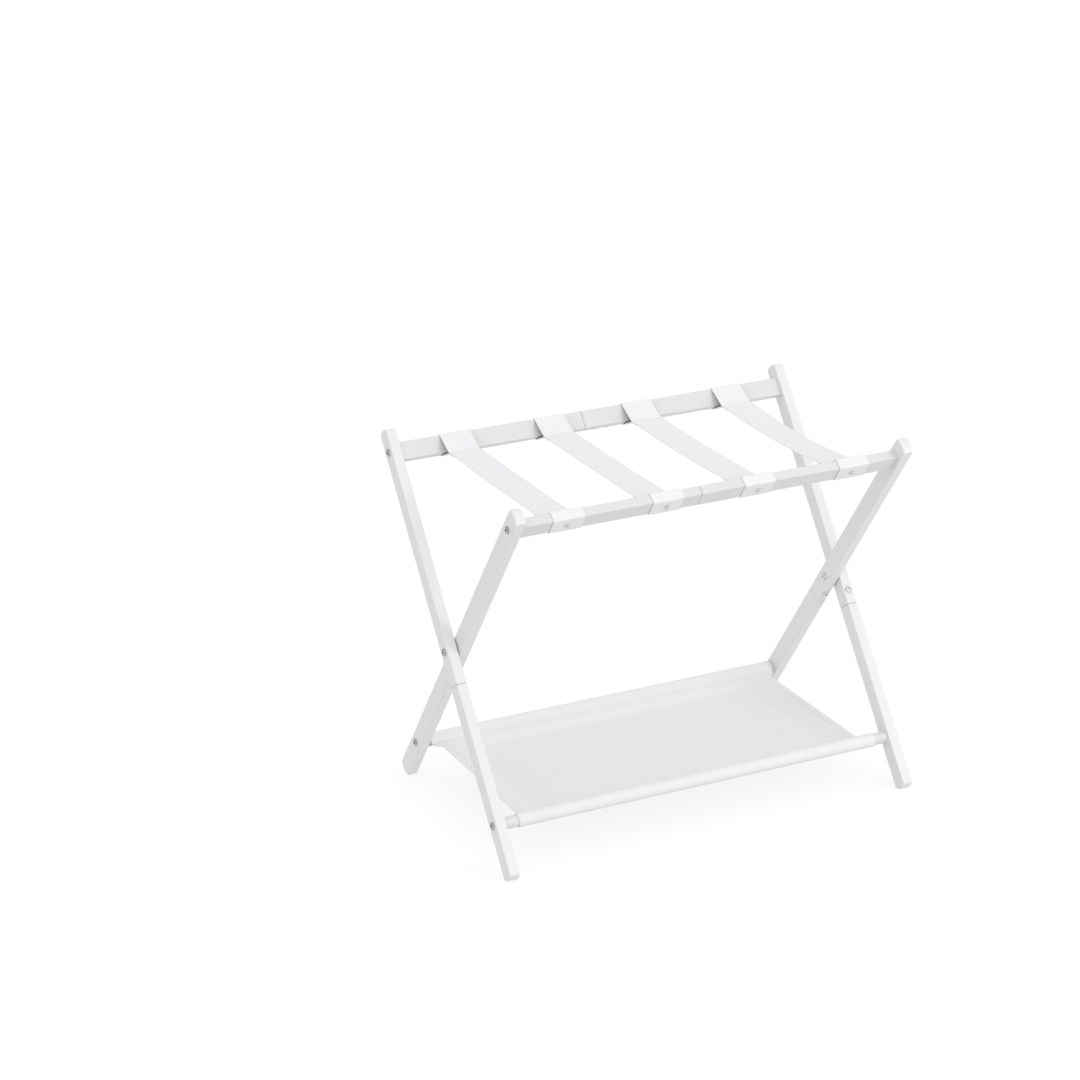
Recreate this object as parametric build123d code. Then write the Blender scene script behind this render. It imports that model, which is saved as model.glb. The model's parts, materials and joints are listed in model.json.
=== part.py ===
from build123d import *
import math
import os

# Folding luggage rack, open. Two wooden frames cross like scissors on two pivots.
# The outer frame leans back: it holds the rear rail at its top and the front rod at its foot.
# The inner frame leans forward: it holds the front rail at its top and the rear rod at its foot.
# Four webbing straps join the rails, and a cloth shelf is slung between the rods.
# X runs along the rails, -Y is the front and +Z is up. The origin is on the floor, midway.
# In a frame's own axes Z runs up its legs from the pivot, and Y is across them, front to back.

# ---- driving dimensions, in millimetres and degrees ----
RACK_LENGTH = 680.0
LEG_REACH = 348.0
HALF_ANGLE = 36.45
LEG_WIDTH = 27.0
LEG_THICKNESS = 16.0
LEG_GAP = 2.0
LEG_DOME_RISE = 5.0
LEG_EDGE_RADIUS = 1.2
LEG_SEAM_BELOW_PIVOT = 53.0
SEAM_BEVEL = 0.6

RAIL_BELOW_TIP = 37.0
RAIL_WIDTH = 28.0
RAIL_THICKNESS = 15.0
RAIL_EDGE_RADIUS = 1.2
RAIL_SEAM_X = -20.0
ROD_ABOVE_TIP = 83.0
ROD_DIAMETER = 18.0

LEG_DOWEL_DIAMETER = 10.0
LEG_DOWEL_LENGTH = 70.0
JOINT_SCREW_ABOVE_SEAM = 22.0
JOINT_SCREW_LENGTH = 22.0
JOINT_SCREW_HEAD = 10.0
JOINT_SCREW_HEAD_RISE = 3.0
JOINT_SCREW_SHANK = 4.0

TENON_LENGTH = 96.0
TENON_WIDTH = 16.0
TENON_THICKNESS = 7.0
RAIL_SCREW_FROM_SEAM = 19.0
RAIL_SCREW_SPACING = 20.0
SMALL_SCREW_LENGTH = 20.0
SMALL_SCREW_HEAD = 7.0
SMALL_SCREW_HEAD_RISE = 1.8
SMALL_SCREW_SHANK = 3.0
HEAD_ROUNDING = 0.8
SOCKET_FLOOR = 0.3

BOLT_SHANK = 6.0
BOLT_HEAD = 11.5
BOLT_HEAD_RISE = 2.5
BOLT_SOCKET = 4.0
BOLT_PAST_LEG = 22.0
BOLT_ABOVE_RAIL_MIDDLE = 2.0
INSERT_DIAMETER = 10.0
INSERT_LENGTH = 20.0
PIN_DIAMETER = 5.0
PIN_LENGTH = 24.0
PIN_BELOW_RAIL_BOLT = 10.0

PIVOT_SLEEVE = 8.0
PIVOT_BOLT_LENGTH = 26.0
SLEEVE_SHORT_OF_FACE = 1.0
WASHER_DIAMETER = 17.0

STRAP_TO_INNER_LEG = 74.0
STRAP_MIDDLE_SPACING = 149.0
STRAP_WIDTH = 50.0
STRAP_THICKNESS = 1.5
STRAP_SAG = 7.0
STITCH_INSET = 32.0
STITCH_DROP = 4.0
STRAP_SCREW_LENGTH = 11.0

SHELF_TO_INNER_LEG = 5.0
SHELF_THICKNESS = 1.2
SHELF_SEAM_INSET = 13.0
SHELF_SEAM_DROP = 3.0
SHELF_SAG = 10.0

# ---- clearances ----
RUNNING_CLEARANCE = 0.05
SEAT_CLEARANCE = 0.05
CLOTH_CLEARANCE = 0.3
SIDE_PLAY = 0.2
TENON_CLEARANCE = 0.1
BOLT_END_ROOM = 1.0

# ---- worked out ----
OUTER_LEG_FACE = RACK_LENGTH / 2
OUTER_SPAN = RACK_LENGTH / 2 - LEG_THICKNESS
INNER_LEG_FACE = OUTER_SPAN - LEG_GAP
INNER_SPAN = INNER_LEG_FACE - LEG_THICKNESS
DOME_RADIUS = (LEG_WIDTH**2 / 4 + LEG_DOME_RISE**2) / (2 * LEG_DOME_RISE)
LEG_SHOULDER = LEG_REACH - LEG_DOME_RISE
LEAN = math.radians(HALF_ANGLE)
PIVOT_HEIGHT = (LEG_REACH - DOME_RADIUS) * math.cos(LEAN) + DOME_RADIUS
RAIL_UP_LEG = LEG_REACH - RAIL_BELOW_TIP
BOLT_UP_LEG = RAIL_UP_LEG + BOLT_ABOVE_RAIL_MIDDLE
ROD_UP_LEG = ROD_ABOVE_TIP - LEG_REACH
BOLT_LENGTH = LEG_THICKNESS + BOLT_PAST_LEG
JOINT_SCREW_UP_LEG = JOINT_SCREW_ABOVE_SEAM - LEG_SEAM_BELOW_PIVOT
PIN_UP_LEG = BOLT_UP_LEG - PIN_BELOW_RAIL_BOLT
PIN_IN_LEG = PIN_LENGTH / 3
SHELF_HALF_WIDTH = INNER_SPAN - SHELF_TO_INNER_LEG
STRAP_OUTER = INNER_SPAN - STRAP_TO_INNER_LEG
STRAP_MIDDLE = STRAP_MIDDLE_SPACING / 2
STRAP_CENTRES = (-STRAP_OUTER, -STRAP_MIDDLE, STRAP_MIDDLE, STRAP_OUTER)

OUTER = -HALF_ANGLE
INNER = HALF_ANGLE
LEFT = -1
RIGHT = 1


def stand(shape, lean):
    """A shape in a frame's own axes, leant over and lifted to the pivot."""
    return Pos(0, 0, PIVOT_HEIGHT) * Rot(X=lean) * shape


def save(shape, name):
    """One node, one file."""
    export_step(shape, os.path.join("parts", name + ".step"))


def group(shapes):
    """Like pieces as one node of separate solids."""
    return Compound(children=list(shapes))


def rod_along_x(radius, start, end, y, z):
    """A round bar along X from start to end."""
    bar = Cylinder(radius, abs(end - start))
    return Pos((start + end) / 2, y, z) * Rot(Y=90) * bar


def button_screw(shank, length, head, rise, socket):
    """A screw whose domed head stands on the XY plane, with its shank down -Z."""
    cap = Pos(0, 0, rise / 2) * Cylinder(head / 2, rise)
    cap = fillet(cap.edges().group_by(Axis.Z)[-1], rise * HEAD_ROUNDING)
    shaft = Pos(0, 0, -length / 2) * Cylinder(shank / 2, length)
    recess = extrude(RegularPolygon(socket / 2, 6, major_radius=False), rise)
    return cap + shaft - Pos(0, 0, rise * SOCKET_FLOOR) * recess


# ---- legs ----
def leg_profile(seam, tip_sign):
    """The leg's outline across its width, from the seam to the domed tip."""
    half = LEG_WIDTH / 2
    shoulder = tip_sign * LEG_SHOULDER
    sides = Polyline((-half, shoulder), (-half, seam), (half, seam), (half, shoulder))
    dome = ThreePointArc((half, shoulder), (0, tip_sign * LEG_REACH), (-half, shoulder))
    return make_face(Plane.YZ * (sides + dome))


def bevelled_end(shape, axis, place):
    """A shape whose end face, square to an axis at a place along it, has a small bevel all round."""
    ends = shape.faces().filter_by(axis)
    end = min(ends, key=lambda face: abs(axis.direction.dot(face.center()) - place))
    return chamfer(end.outer_wire().edges(), SEAM_BEVEL)


def leg_blank(inner_face, side, tip_sign):
    """A plain leg piece with softened edges and a bevelled seam."""
    seam = -LEG_SEAM_BELOW_PIVOT
    blank = extrude(leg_profile(seam, tip_sign), LEG_THICKNESS, dir=(1, 0, 0))
    start = inner_face if side == RIGHT else -inner_face - LEG_THICKNESS
    outside = blank.edges().filter_by(lambda e: abs(e.center().Z - seam) > 0.01)
    return Pos(start, 0, 0) * bevelled_end(fillet(outside, LEG_EDGE_RADIUS), Axis.Z, seam)


def across_leg(radius, inner_face, side, height, depth=LEG_THICKNESS):
    """A round hole into a leg from its inner face."""
    return rod_along_x(radius, side * inner_face, side * (inner_face + depth), 0, height)


def leg_middle(inner_face, side):
    """How far a leg's middle is from the rack's middle."""
    return side * (inner_face + LEG_THICKNESS / 2)


def leg_dowel(inner_face, side, play=0.0):
    """The dowel that joins the two pieces of a leg."""
    x = leg_middle(inner_face, side)
    pin = Cylinder(LEG_DOWEL_DIAMETER / 2 + play, LEG_DOWEL_LENGTH + 2 * play)
    return Pos(x, 0, -LEG_SEAM_BELOW_PIVOT) * pin


def joint_screw_place(inner_face, side):
    """Where a leg's joint screw sits: front edge of right legs, rear edge of left legs."""
    x = leg_middle(inner_face, side)
    turn = 90 if side == RIGHT else -90
    return Pos(x, -side * LEG_WIDTH / 2, JOINT_SCREW_UP_LEG) * Rot(X=turn)


def joint_screw(inner_face, side):
    """The round-headed screw that locks the leg's dowel."""
    shank, head, rise = JOINT_SCREW_SHANK, JOINT_SCREW_HEAD, JOINT_SCREW_HEAD_RISE
    screw = button_screw(shank, JOINT_SCREW_LENGTH, head, rise, shank)
    return joint_screw_place(inner_face, side) * screw


def joint_screw_hole(inner_face, side):
    """The room that the joint screw's shank needs."""
    depth = JOINT_SCREW_LENGTH + SEAT_CLEARANCE
    hole = Cylinder(JOINT_SCREW_SHANK / 2 + SEAT_CLEARANCE, depth)
    return joint_screw_place(inner_face, side) * Pos(0, 0, -depth / 2) * hole


def leg_upper(inner_face, side):
    """The upper leg piece: rail bolt and pin, pivot, dowel and joint screw."""
    leg = leg_blank(inner_face, side, 1)
    leg -= across_leg(BOLT_SHANK / 2 + SEAT_CLEARANCE, inner_face, side, BOLT_UP_LEG)
    leg -= across_leg(PIN_DIAMETER / 2 + SEAT_CLEARANCE, inner_face, side, PIN_UP_LEG, PIN_IN_LEG)
    leg -= across_leg(PIVOT_SLEEVE / 2 + RUNNING_CLEARANCE, inner_face, side, 0)
    leg -= leg_dowel(inner_face, side, SEAT_CLEARANCE)
    return leg - joint_screw_hole(inner_face, side)


def leg_lower(inner_face, side):
    """The lower leg piece: dowel and rod bolt."""
    leg = leg_blank(inner_face, side, -1)
    leg -= across_leg(BOLT_SHANK / 2 + SEAT_CLEARANCE, inner_face, side, ROD_UP_LEG)
    return leg - leg_dowel(inner_face, side, SEAT_CLEARANCE)


def drilled_leg_dowel(inner_face, side):
    """The leg's dowel with its cross hole."""
    return leg_dowel(inner_face, side) - joint_screw_hole(inner_face, side)


# ---- rails and rods ----
def rail_tenon(play=0.0):
    """The hidden tongue that joins a rail's halves."""
    tongue = Box(TENON_LENGTH + 2 * play, TENON_THICKNESS + 2 * play, TENON_WIDTH + 2 * play)
    return Pos(RAIL_SEAM_X, 0, RAIL_UP_LEG) * tongue


def rail_screws_at():
    """Where the rail's two screws stand along it."""
    first = RAIL_SEAM_X + RAIL_SCREW_FROM_SEAM
    return (first, first + RAIL_SCREW_SPACING)


def small_screw(length):
    """One of the small screws in the rails."""
    shank, head, rise = SMALL_SCREW_SHANK, SMALL_SCREW_HEAD, SMALL_SCREW_HEAD_RISE
    return button_screw(shank, length, head, rise, shank)


def rail_screw(x):
    """A small screw up through the rail's lower edge into the tongue."""
    screw = small_screw(SMALL_SCREW_LENGTH)
    return Pos(x, 0, RAIL_UP_LEG - RAIL_WIDTH / 2) * Rot(X=180) * screw


def rail_screw_hole(x):
    """The room that a rail screw's shank needs."""
    depth = SMALL_SCREW_LENGTH + SEAT_CLEARANCE
    hole = Cylinder(SMALL_SCREW_SHANK / 2 + SEAT_CLEARANCE, depth)
    return Pos(x, 0, RAIL_UP_LEG - RAIL_WIDTH / 2 + depth / 2) * hole


def strap_screw_place(x, face_sign, stand_off=0.0):
    """On a rail's outer wide face, under a strap's middle."""
    turn = -90 if face_sign > 0 else 90
    out = face_sign * (RAIL_THICKNESS / 2 + stand_off)
    return Pos(x, out, RAIL_UP_LEG) * Rot(X=turn)


def strap_screw(x, face_sign):
    """The small screw that holds a strap's loop to its rail."""
    stand_off = 2 * CLOTH_CLEARANCE + STRAP_THICKNESS
    screw = small_screw(STRAP_SCREW_LENGTH + stand_off)
    return strap_screw_place(x, face_sign, stand_off) * screw


def strap_screw_hole(x, face_sign, play):
    """A hole for a strap screw, through the strap's loop and into the rail."""
    above = 2 * (CLOTH_CLEARANCE + STRAP_THICKNESS)
    depth = STRAP_SCREW_LENGTH + SEAT_CLEARANCE
    hole = Cylinder(SMALL_SCREW_SHANK / 2 + play, above + depth)
    return strap_screw_place(x, face_sign) * Pos(0, 0, (above - depth) / 2) * hole


def rail_half(span, side, face_sign):
    """Half a rail, from the seam to its leg, drilled for all that it holds."""
    end = side * span
    length = abs(end - RAIL_SEAM_X)
    bar = Box(length, RAIL_THICKNESS, RAIL_WIDTH)
    bar = fillet(bar.edges().filter_by(Axis.X), RAIL_EDGE_RADIUS)
    bar = bevelled_end(bar, Axis.X, -side * length / 2)
    half = Pos((end + RAIL_SEAM_X) / 2, 0, RAIL_UP_LEG) * bar
    half -= rail_tenon(TENON_CLEARANCE)
    half -= end_insert_room(span, side, BOLT_UP_LEG)
    half -= rail_pin(span, side, SEAT_CLEARANCE)
    for x in rail_screws_at():
        half -= rail_screw_hole(x)
    for x in STRAP_CENTRES:
        half -= strap_screw_hole(x, face_sign, SEAT_CLEARANCE)
    return half


def drilled_tenon():
    """The tongue with the holes for its screws."""
    tongue = rail_tenon()
    for x in rail_screws_at():
        tongue -= rail_screw_hole(x)
    return tongue


def rod(span):
    """A round rod with a hole in each end for its insert."""
    bar = rod_along_x(ROD_DIAMETER / 2, -span, span, 0, ROD_UP_LEG)
    for side in (LEFT, RIGHT):
        bar -= end_insert_room(span, side, ROD_UP_LEG)
    return bar


# ---- fasteners at the ends of rails and rods ----
def end_bolt(span, side, height):
    """A bolt through a leg into the insert of a rail or rod."""
    bolt = button_screw(BOLT_SHANK, BOLT_LENGTH, BOLT_HEAD, BOLT_HEAD_RISE, BOLT_SOCKET)
    return Pos(side * (span + LEG_THICKNESS), 0, height) * Rot(Y=side * 90) * bolt


def end_insert(span, side, height):
    """A threaded insert sunk in the end of a rail or rod."""
    start = side * span
    end = side * (span - INSERT_LENGTH)
    bush = rod_along_x(INSERT_DIAMETER / 2, start, end, 0, height)
    return bush - rod_along_x(BOLT_SHANK / 2 + SEAT_CLEARANCE, start, end, 0, height)


def end_insert_room(span, side, height):
    """The stepped hole for an insert and for the bolt's end beyond it."""
    start = side * span
    deep = side * (span - INSERT_LENGTH)
    bolt_end = side * (span + LEG_THICKNESS - BOLT_LENGTH - BOLT_END_ROOM)
    room = rod_along_x(INSERT_DIAMETER / 2 + SEAT_CLEARANCE, start, deep, 0, height)
    return room + rod_along_x(BOLT_SHANK / 2 + SEAT_CLEARANCE, start, bolt_end, 0, height)


def rail_pin(span, side, play=0.0):
    """The plain pin that keeps a rail from turning on its bolt."""
    outer = side * (span + PIN_IN_LEG)
    inner = side * (span + PIN_IN_LEG - PIN_LENGTH - play)
    return rod_along_x(PIN_DIAMETER / 2 + play, outer, inner, 0, PIN_UP_LEG)


# ---- pivots ----
def pivot_bolt(side):
    """The pivot's bolt, whose head is on the outer leg."""
    bolt = button_screw(BOLT_SHANK, PIVOT_BOLT_LENGTH, BOLT_HEAD, BOLT_HEAD_RISE, BOLT_SOCKET)
    return Pos(side * OUTER_LEG_FACE, 0, 0) * Rot(Y=side * 90) * bolt


def pivot_sleeve(side):
    """The pivot's sleeve nut, whose head is inside the inner leg."""
    inner_end = INNER_SPAN - SIDE_PLAY
    length = OUTER_LEG_FACE - SLEEVE_SHORT_OF_FACE - inner_end
    nut = button_screw(PIVOT_SLEEVE, length, BOLT_HEAD, BOLT_HEAD_RISE, BOLT_SOCKET)
    bore_start = side * (OUTER_LEG_FACE - PIVOT_BOLT_LENGTH - BOLT_END_ROOM)
    bore = rod_along_x(BOLT_SHANK / 2 + SEAT_CLEARANCE, bore_start, side * OUTER_LEG_FACE, 0, 0)
    return Pos(side * inner_end, 0, 0) * Rot(Y=-side * 90) * nut - bore


def pivot_washer(side):
    """The plastic washer between the two legs."""
    start = side * OUTER_SPAN
    end = side * (INNER_LEG_FACE + SIDE_PLAY)
    disc = rod_along_x(WASHER_DIAMETER / 2, start, end, 0, 0)
    return disc - rod_along_x(PIVOT_SLEEVE / 2 + RUNNING_CLEARANCE, start, end, 0, 0)


# ---- cloth ----
def in_side_view(across, up):
    """A point of the outer frame as (y, z) on the open rack."""
    y = up * math.sin(LEAN) + across * math.cos(LEAN)
    z = up * math.cos(LEAN) - across * math.sin(LEAN) + PIVOT_HEIGHT
    return (y, z)


def wrapped(edges, thickness):
    """The side view of cloth pulled tight round the edges and held off them by its clearance."""
    core = make_hull(edges)
    return offset(core, CLOTH_CLEARANCE + thickness) - offset(core, CLOTH_CLEARANCE)


def sagging_band(y, z, thickness, sag):
    """The side view of cloth hung from (-y, z) to (y, z)."""
    half = thickness / 2
    top = ThreePointArc((-y, z + half), (0, z + half - sag), (y, z + half))
    bottom = ThreePointArc((y, z - half), (0, z - half - sag), (-y, z - half))
    ends = Line((y, z + half), (y, z - half)) + Line((-y, z - half), (-y, z + half))
    return make_face(top + bottom + ends)


def both_ways(rear_loop, band):
    """A rear loop, its mirror image at the front and the band between them, as one face."""
    return rear_loop + mirror(rear_loop, Plane.YZ) + band


def across_rack(outline, start, end):
    """A side view drawn out along X."""
    return Pos(start, 0, 0) * extrude(Plane.YZ * outline, end - start, dir=(1, 0, 0))


def strap_outline():
    """A strap's side view: a loop sewn round each rail and a span that sags a little."""
    half = RAIL_THICKNESS / 2
    low = RAIL_UP_LEG - RAIL_WIDTH / 2
    high = RAIL_UP_LEG + RAIL_WIDTH / 2
    corners = [in_side_view(a, u) for a, u in ((-half, high), (half, high), (half, low), (-half, low))]
    y, z = in_side_view(0, RAIL_UP_LEG)
    stitch = (y - STITCH_INSET, z - STITCH_DROP)
    loop = wrapped(Polyline(*corners, stitch, close=True).edges(), STRAP_THICKNESS)
    return both_ways(loop, sagging_band(*stitch, STRAP_THICKNESS, STRAP_SAG))


def strap(x):
    """A webbing strap with holes for its two screws."""
    band = across_rack(strap_outline(), x - STRAP_WIDTH / 2, x + STRAP_WIDTH / 2)
    band -= stand(strap_screw_hole(x, 1, CLOTH_CLEARANCE), OUTER)
    return band - stand(strap_screw_hole(x, -1, CLOTH_CLEARANCE), INNER)


def shelf():
    """The cloth shelf: a sleeve sewn round each rod and a sagging sheet between them."""
    front_y, z = in_side_view(0, ROD_UP_LEG)
    seam = (-front_y - SHELF_SEAM_INSET, z - SHELF_SEAM_DROP)
    above_rod = (-front_y, z + ROD_DIAMETER / 2)
    below_rod = (-front_y, z - ROD_DIAMETER / 2)
    rod_edges = (Pos(-front_y, z) * Circle(ROD_DIAMETER / 2)).edges()
    sleeve = wrapped(rod_edges + Polyline(above_rod, seam, below_rod).edges(), SHELF_THICKNESS)
    sheet = sagging_band(*seam, SHELF_THICKNESS, SHELF_SAG)
    return across_rack(both_ways(sleeve, sheet), -SHELF_HALF_WIDTH, SHELF_HALF_WIDTH)


# ---- the two frames ----
def save_frame(frame, rail, rod_name, lean, span, rail_face):
    """One frame: four leg pieces, a rail, a rod and what joins them."""
    sides = (LEFT, RIGHT)
    for side, side_name in ((LEFT, "left"), (RIGHT, "right")):
        save(stand(leg_upper(span, side), lean), frame + "_leg_" + side_name + "_upper")
        save(stand(leg_lower(span, side), lean), frame + "_leg_" + side_name + "_lower")
        save(stand(rail_half(span, side, rail_face), lean), rail + "_" + side_name)
    save(group(stand(drilled_leg_dowel(span, s), lean) for s in sides), frame + "_leg_dowels")
    save(group(stand(joint_screw(span, s), lean) for s in sides), frame + "_leg_joint_screws")
    save(stand(drilled_tenon(), lean), rail + "_tenon")
    save(group(stand(rail_screw(x), lean) for x in rail_screws_at()), rail + "_joint_screws")
    save(group(stand(end_bolt(span, s, BOLT_UP_LEG), lean) for s in sides), rail + "_bolts")
    save(group(stand(end_insert(span, s, BOLT_UP_LEG), lean) for s in sides), rail + "_inserts")
    save(group(stand(rail_pin(span, s), lean) for s in sides), rail + "_pins")
    save(stand(rod(span), lean), rod_name)
    save(group(stand(end_bolt(span, s, ROD_UP_LEG), lean) for s in sides), rod_name + "_bolts")
    save(group(stand(end_insert(span, s, ROD_UP_LEG), lean) for s in sides), rod_name + "_inserts")
    screws = [stand(strap_screw(x, rail_face), lean) for x in STRAP_CENTRES]
    save(group(screws), rail + "_strap_screws")


def save_pivots():
    """The bolts, sleeve nuts and washers that the frames turn on."""
    for make, name in ((pivot_bolt, "bolts"), (pivot_sleeve, "sleeve_nuts"), (pivot_washer, "washers")):
        save(group(stand(make(side), OUTER) for side in (LEFT, RIGHT)), "pivot_" + name)


def main():
    """Write every node of the rack."""
    os.makedirs("parts", exist_ok=True)
    save_frame("outer", "rear_rail", "front_rod", OUTER, OUTER_SPAN, 1)
    save_frame("inner", "front_rail", "rear_rod", INNER, INNER_SPAN, -1)
    save_pivots()
    for number, x in enumerate(STRAP_CENTRES, 1):
        save(strap(x), "strap_" + str(number))
    save(shelf(), "shelf")


main()
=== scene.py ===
"""A folding luggage rack in white painted wood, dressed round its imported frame.

The wood, the fasteners and the washers keep the frame's shapes and only take finishes here.
The webbing straps and the cloth shelf are made here, with their seams, hems and stitches.
"""

import json
import logging
import math
from abc import ABC, abstractmethod
from bisect import bisect
from collections.abc import Callable, Iterable, Mapping, Sequence
from dataclasses import dataclass
from enum import Enum
from itertools import pairwise
from typing import Any

import bpy
from mathutils import Matrix, Vector, noise

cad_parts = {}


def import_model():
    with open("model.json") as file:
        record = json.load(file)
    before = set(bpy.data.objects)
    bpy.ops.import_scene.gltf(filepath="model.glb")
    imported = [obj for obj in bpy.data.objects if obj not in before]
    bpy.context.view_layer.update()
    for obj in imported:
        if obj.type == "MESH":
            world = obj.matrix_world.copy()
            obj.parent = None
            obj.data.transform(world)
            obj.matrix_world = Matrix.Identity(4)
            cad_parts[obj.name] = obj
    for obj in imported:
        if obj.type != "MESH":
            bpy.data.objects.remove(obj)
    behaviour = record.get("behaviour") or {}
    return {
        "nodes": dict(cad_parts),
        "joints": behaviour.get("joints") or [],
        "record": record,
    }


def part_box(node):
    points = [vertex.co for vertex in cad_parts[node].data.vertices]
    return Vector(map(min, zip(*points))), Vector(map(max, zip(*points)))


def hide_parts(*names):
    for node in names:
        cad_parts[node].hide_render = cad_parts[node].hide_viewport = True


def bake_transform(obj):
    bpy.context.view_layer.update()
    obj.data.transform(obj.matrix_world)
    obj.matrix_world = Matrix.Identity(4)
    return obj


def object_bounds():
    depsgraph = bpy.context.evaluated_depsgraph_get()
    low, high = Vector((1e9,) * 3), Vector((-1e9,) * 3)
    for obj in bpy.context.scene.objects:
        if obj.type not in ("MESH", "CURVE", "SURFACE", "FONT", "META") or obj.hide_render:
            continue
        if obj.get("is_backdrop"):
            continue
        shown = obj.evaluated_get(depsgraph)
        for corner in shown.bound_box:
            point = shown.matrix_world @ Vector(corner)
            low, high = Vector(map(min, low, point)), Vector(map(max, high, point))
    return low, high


LOG = logging.getLogger("luggage_rack")
LIE = "cloth_lie"
MM = 0.001

Colour = tuple[float, float, float]


# ---- shader nodes ----
class Value:
    """One output of a shader node, which ordinary arithmetic turns into Math nodes."""

    def __init__(self, nodes: "Nodes", socket: bpy.types.NodeSocket) -> None:
        """Keeps the output and the tree that it belongs to."""
        self.nodes = nodes
        self.socket = socket

    def _math(self, operation: str, *terms: "Value | float") -> "Value":
        """Adds one Math node and returns what it gives."""
        return self.nodes.add("ShaderNodeMath", {"operation": operation}, dict(enumerate(terms)))

    def __add__(self, other: "Value | float") -> "Value":
        """self + other."""
        return self._math("ADD", self, other)

    def __radd__(self, other: float) -> "Value":
        """other + self."""
        return self._math("ADD", other, self)

    def __sub__(self, other: "Value | float") -> "Value":
        """self - other."""
        return self._math("SUBTRACT", self, other)

    def __rsub__(self, other: float) -> "Value":
        """other - self."""
        return self._math("SUBTRACT", other, self)

    def __mul__(self, other: "Value | float") -> "Value":
        """self * other."""
        return self._math("MULTIPLY", self, other)

    def __rmul__(self, other: float) -> "Value":
        """other * self."""
        return self._math("MULTIPLY", other, self)

    def sine(self) -> "Value":
        """The sine of this value in radians."""
        return self._math("SINE", self)

    def size(self) -> "Value":
        """This value without its sign."""
        return self._math("ABSOLUTE", self)

    def to_and_fro(self, width: float) -> "Value":
        """This value folded to and fro between 0 and a width."""
        return self._math("PINGPONG", self, width)

    def under(self, limit: float) -> "Value":
        """1 where this value is under a limit, and 0 elsewhere."""
        return self._math("LESS_THAN", self, limit)


class Nodes:
    """A tree of shader nodes, filled one node at a time."""

    def __init__(self, tree: bpy.types.NodeTree) -> None:
        """Empties the tree and keeps it."""
        self.tree = tree
        tree.nodes.clear()

    def add(
        self,
        kind: str,
        settings: Mapping[str, Any],
        inputs: Mapping[int | str, Any],
        output: int | str = 0,
    ) -> Value:
        """Adds any node.

        Args:
            kind: The node's type.
            settings: Its properties, which are set first.
            inputs: A number, colour, vector or Value for each input that is used.
            output: The output that is returned.

        Returns:
            The chosen output of the new node, or its first input if it has no outputs.
        """
        node = self.tree.nodes.new(kind)
        for name, setting in settings.items():
            setattr(node, name, setting)
        for key, given in inputs.items():
            if isinstance(given, Value):
                self.tree.links.new(given.socket, node.inputs[key])
            else:
                node.inputs[key].default_value = given
        return Value(self, node.outputs[output] if node.outputs else node.inputs[0])

    def place(self) -> Value:
        """Where a point is on its own piece, in metres."""
        return self.add("ShaderNodeTexCoord", {}, {}, "Object")

    def lie(self) -> Value:
        """Where a point is on flat cloth: across it and along it, in metres."""
        return self.add("ShaderNodeAttribute", {"attribute_name": LIE}, {}, "Vector")

    def parts_of(self, vector: Value) -> tuple[Value, ...]:
        """The three numbers of a vector."""
        split = self.add("ShaderNodeSeparateXYZ", {}, {0: vector}).socket.node
        return tuple(Value(self, output) for output in split.outputs)

    def scaled(self, vector: Value, by: tuple[float, float, float]) -> Value:
        """A vector with each of its numbers multiplied."""
        return self.add("ShaderNodeVectorMath", {"operation": "MULTIPLY"}, {0: vector, 1: by})

    def speckle(self, vector: Value, per_metre: float, detail: float = 3.0) -> Value:
        """Cloudy noise about 0.5."""
        inputs = {"Vector": vector, "Scale": per_metre, "Detail": detail, "Roughness": 0.55}
        return self.add("ShaderNodeTexNoise", {}, inputs)

    def between(self, share: Value, first: Value | Colour, second: Colour) -> Value:
        """Mixes two colours.

        Args:
            share: How far the mix is from the first colour to the second, from 0 to 1.
            first: The first colour, painted by other nodes or plain.
            second: The second colour.

        Returns:
            The mixed colour.
        """
        start = first if isinstance(first, Value) else (*first, 1.0)
        inputs = {0: share, 6: start, 7: (*second, 1.0)}
        return self.add("ShaderNodeMix", {"data_type": "RGBA"}, inputs, 2)

    def relief(self, height: Value, depth: float, strength: float) -> Value:
        """A surface normal that follows a height from 0 to 1, which is depth metres deep."""
        inputs = {"Height": height, "Distance": depth, "Strength": strength}
        return self.add("ShaderNodeBump", {}, inputs)

    def finish(self, sockets: Mapping[str, Any]) -> None:
        """Ends a material's tree in one Principled shader."""
        shader = self.add("ShaderNodeBsdfPrincipled", {}, sockets)
        self.add("ShaderNodeOutputMaterial", {}, {"Surface": shader})


# ---- finishes ----
class Finish(ABC):
    """A surface's finish, told as what one Principled shader is given."""

    name: str

    @abstractmethod
    def sockets(self, nodes: Nodes) -> dict[str, Any]:
        """What each of the shader's sockets that is used is given."""

    def material(self) -> bpy.types.Material:
        """Makes the finish.

        Returns:
            The finish as a Blender material.
        """
        material = bpy.data.materials.new(self.name)
        material.use_nodes = True
        nodes = Nodes(material.node_tree)
        nodes.finish(self.sockets(nodes))
        return material


class Grain(Enum):
    """The way that the fibres of a piece of wood run."""

    ALONG_RAIL = "along the rails"
    UP_OUTER_LEG = "up the outer legs"
    UP_INNER_LEG = "up the inner legs"


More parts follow.
